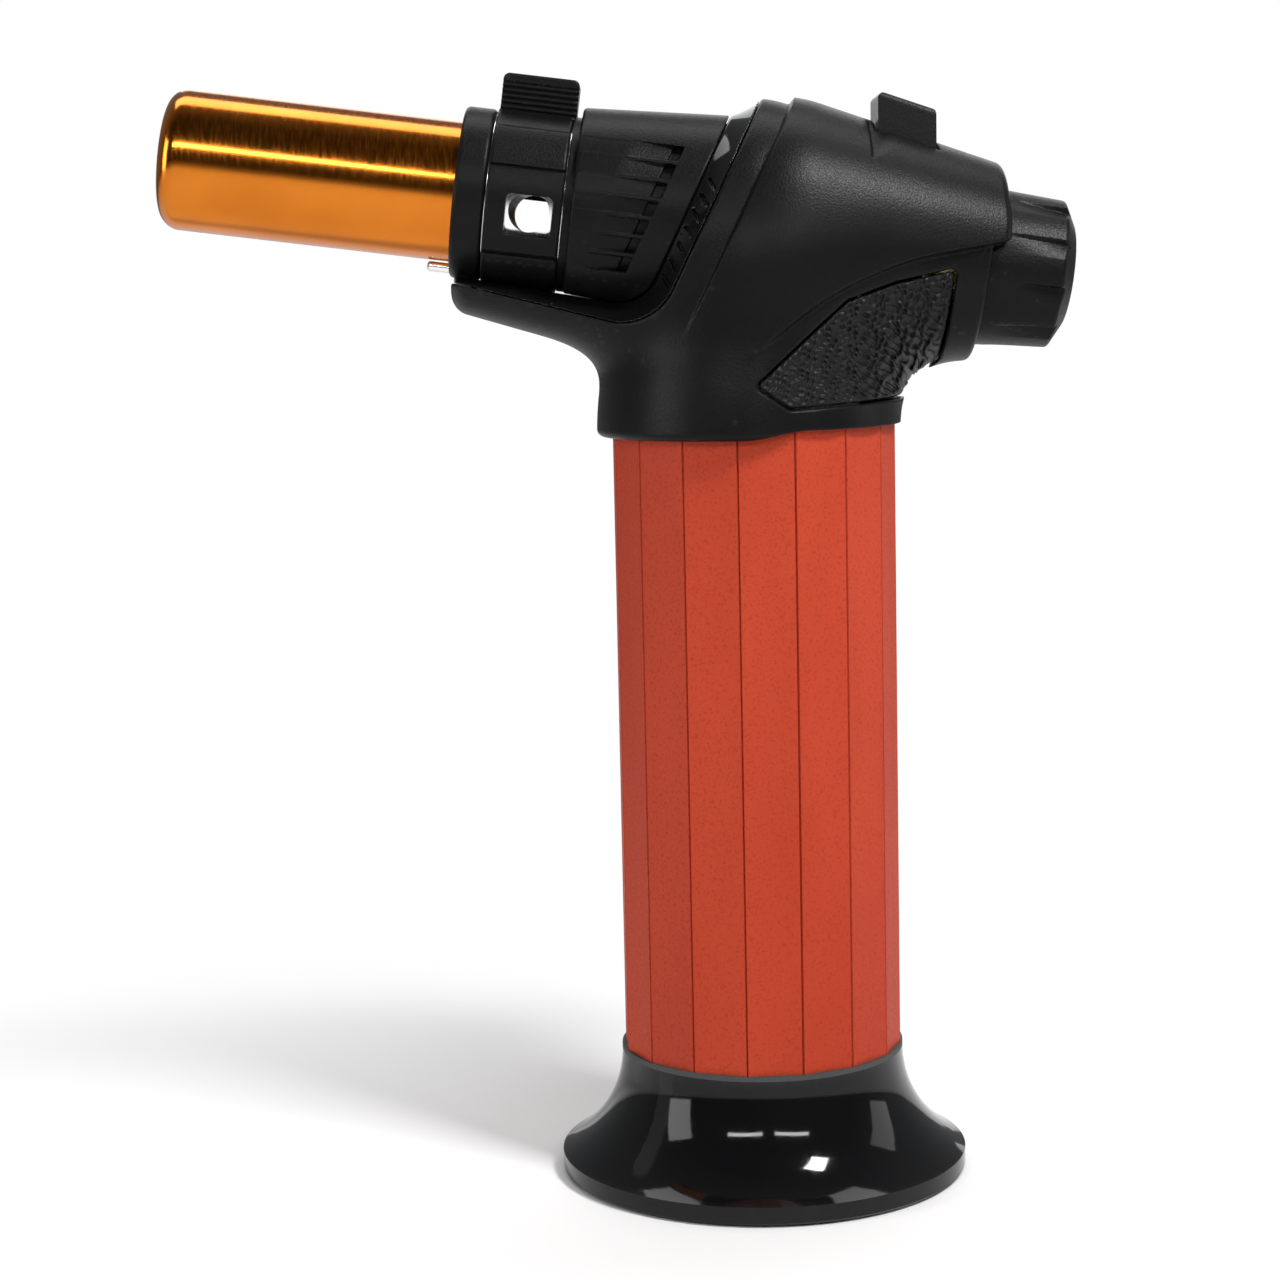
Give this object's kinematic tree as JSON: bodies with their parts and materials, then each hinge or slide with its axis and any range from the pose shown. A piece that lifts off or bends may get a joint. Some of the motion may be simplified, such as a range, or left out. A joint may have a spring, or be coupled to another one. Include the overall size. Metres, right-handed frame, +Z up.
{
  "type": "hand-held butane torch",
  "caption": "Free-standing butane hand torch: flared stand, fluted handle with fuel tank, tilted flame tube with turning air ring, rear flame knob and top ignition button.",
  "frame": {"origin": "centre of the stand's resting face, on the handle's axis", "axes": "+Z up the handle, -X the way the flame tube points, the head shells part on Y = 0"},
  "size_m": [0.1276, 0.0584, 0.1565],
  "materials": {
    "gloss_black": "polished",
    "matte_black": "fine matte grain",
    "grip_black": "leather grain",
    "sleeve_red": "soft touch, fine grain",
    "seal_rubber": "matte",
    "copper_gold": "polished copper-gold anodising",
    "bright_steel": "bright",
    "tube_steel": "satin",
    "brass": "machined",
    "copper_pipe": "drawn copper",
    "zinc": "die cast",
    "tank_plastic": "natural nylon",
    "piezo_plastic": "moulded",
    "felt": "felt",
    "white_ceramic": "glazed",
    "wire_cover": "silicone"
  },
  "bodies": {
    "torch": {"base_foot": "gloss_black", "head_bezel": "gloss_black", "head_shell_left": "matte_black", "head_shell_right": "matte_black", "barrel_shroud": "matte_black", "front_collar": "matte_black", "grip_insert_left": "grip_black", "grip_insert_right": "grip_black", "handle_sleeve": "sleeve_red", "base_gasket": "seal_rubber", "tank_seal": "seal_rubber", "fill_valve_seal": "seal_rubber", "spindle_seal": "seal_rubber", "flame_tube": "copper_gold", "air_sleeve": "bright_steel", "tube_retaining_pin": "bright_steel", "shell_screws": "bright_steel", "fill_valve_spring": "bright_steel", "piezo_spring": "bright_steel", "electrode": "bright_steel", "mixing_tube": "tube_steel", "burner_head": "tube_steel", "fill_valve_body": "brass", "outlet_fitting": "brass", "valve_block": "brass", "gland_nut": "brass", "gas_jet": "brass", "gas_line": "copper_pipe", "feed_tube": "copper_pipe", "burner_mount": "zinc", "fuel_tank": "tank_plastic", "tank_cap": "tank_plastic", "piezo_body": "piezo_plastic", "fuel_wick": "felt", "electrode_insulator": "white_ceramic", "ignition_wire": "wire_cover"},
    "air_control": {"air_ring": "matte_black"},
    "flame_control": {"control_knob": "matte_black", "knob_screw": "bright_steel", "valve_spindle": "brass"},
    "ignition": {"ignition_button": "matte_black", "piezo_plunger": "piezo_plastic"},
    "refill_stem": {"fill_valve_stem": "brass"}
  },
  "joints": [
    {"name": "air_ring_turn", "type": "hinge", "parent": "torch", "child": "air_control", "pos_m": [-0.03071, 0, 0.13921], "axis": [-0.9907, 0, 0.1357], "range_deg": [-30, 30]},
    {"name": "flame_knob_turn", "type": "hinge", "parent": "torch", "child": "flame_control", "pos_m": [0.03939, 0, 0.12784], "axis": [0.9907, 0, -0.1357], "range_deg": [0, 270]},
    {"name": "ignition_press", "type": "slide", "parent": "torch", "child": "ignition", "axis": [0, 0, -1], "range_m": [0, 0.003], "stiffness_N_per_m": 2000, "springref_m": -0.002, "deforming": ["piezo_spring"]},
    {"name": "refill_stem_press", "type": "slide", "parent": "torch", "child": "refill_stem", "axis": [0, 0, 1], "range_m": [0, 0.0015], "stiffness_N_per_m": 2000, "springref_m": -0.001, "deforming": ["fill_valve_spring"]}
  ]
}
